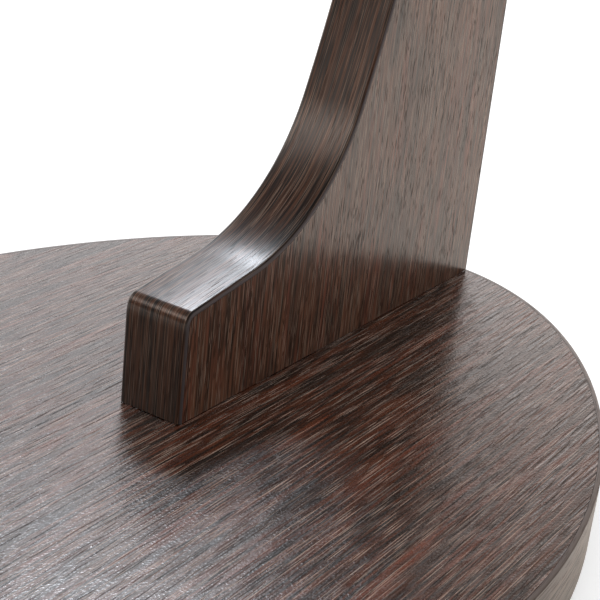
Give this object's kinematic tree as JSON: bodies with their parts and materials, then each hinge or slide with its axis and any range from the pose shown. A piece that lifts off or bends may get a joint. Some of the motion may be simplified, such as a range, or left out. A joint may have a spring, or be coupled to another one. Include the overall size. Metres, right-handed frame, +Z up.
{
  "type": "hanging guitar stand",
  "caption": "Floor stand that hangs a guitar from a swivelling sleeved yoke: an egg-shaped wood-grain base carries a sail-shaped upright with a forward toe.",
  "frame": {"origin": "on the floor, under the middle of the base's bounding box", "axes": "+Z up, -Y forwards along the toe and the yoke, +X to the right seen from the front"},
  "size_m": [0.2922, 0.377, 1.0156],
  "materials": {
    "walnut_foil": "satin walnut-grain foil on a panel core",
    "walnut_edging": "satin wood-grain plastic edge band",
    "zinc_plated_steel": "zinc plated",
    "zinc_alloy": "die-cast zinc",
    "beech": "plain turned beech",
    "black_steel": "satin black powder coat",
    "brown_plastic": "moulded satin",
    "black_nylon": "moulded matte",
    "black_rubber": "matte moulded rubber",
    "black_foam": "fine closed-cell foam"
  },
  "bodies": {
    "stand": {"base_board": "walnut_foil", "base_edge_band": "walnut_edging", "upright_board": "walnut_foil", "upright_edge_band": "walnut_edging", "joint_bolt_1": "zinc_plated_steel", "joint_bolt_2": "zinc_plated_steel", "joint_bolt_3": "zinc_plated_steel", "joint_washer_1": "zinc_plated_steel", "joint_washer_2": "zinc_plated_steel", "joint_washer_3": "zinc_plated_steel", "threaded_insert_1": "zinc_alloy", "threaded_insert_2": "zinc_alloy", "threaded_insert_3": "zinc_alloy", "alignment_dowel_1": "beech", "alignment_dowel_2": "beech", "foot_rear": "black_rubber", "foot_side_left": "black_rubber", "foot_side_right": "black_rubber", "foot_front_left": "black_rubber", "foot_front_right": "black_rubber", "foot_screw_1": "zinc_plated_steel", "foot_screw_2": "zinc_plated_steel", "foot_screw_3": "zinc_plated_steel", "foot_screw_4": "zinc_plated_steel", "foot_screw_5": "zinc_plated_steel", "front_bush": "black_nylon", "rear_bush": "black_nylon", "rear_cover": "brown_plastic", "body_pad": "black_foam"},
    "yoke": {"yoke": "black_steel", "sleeve_left": "black_rubber", "sleeve_right": "black_rubber", "prong_cap_left": "black_rubber", "prong_cap_right": "black_rubber", "yoke_washer": "zinc_plated_steel", "yoke_lock_nut": "zinc_plated_steel"}
  },
  "joints": [
    {"name": "yoke_swivel", "type": "hinge", "parent": "stand", "child": "yoke", "pos_m": [0, 0.123, 0.965], "axis": [0, 1, 0], "continuous": true}
  ]
}
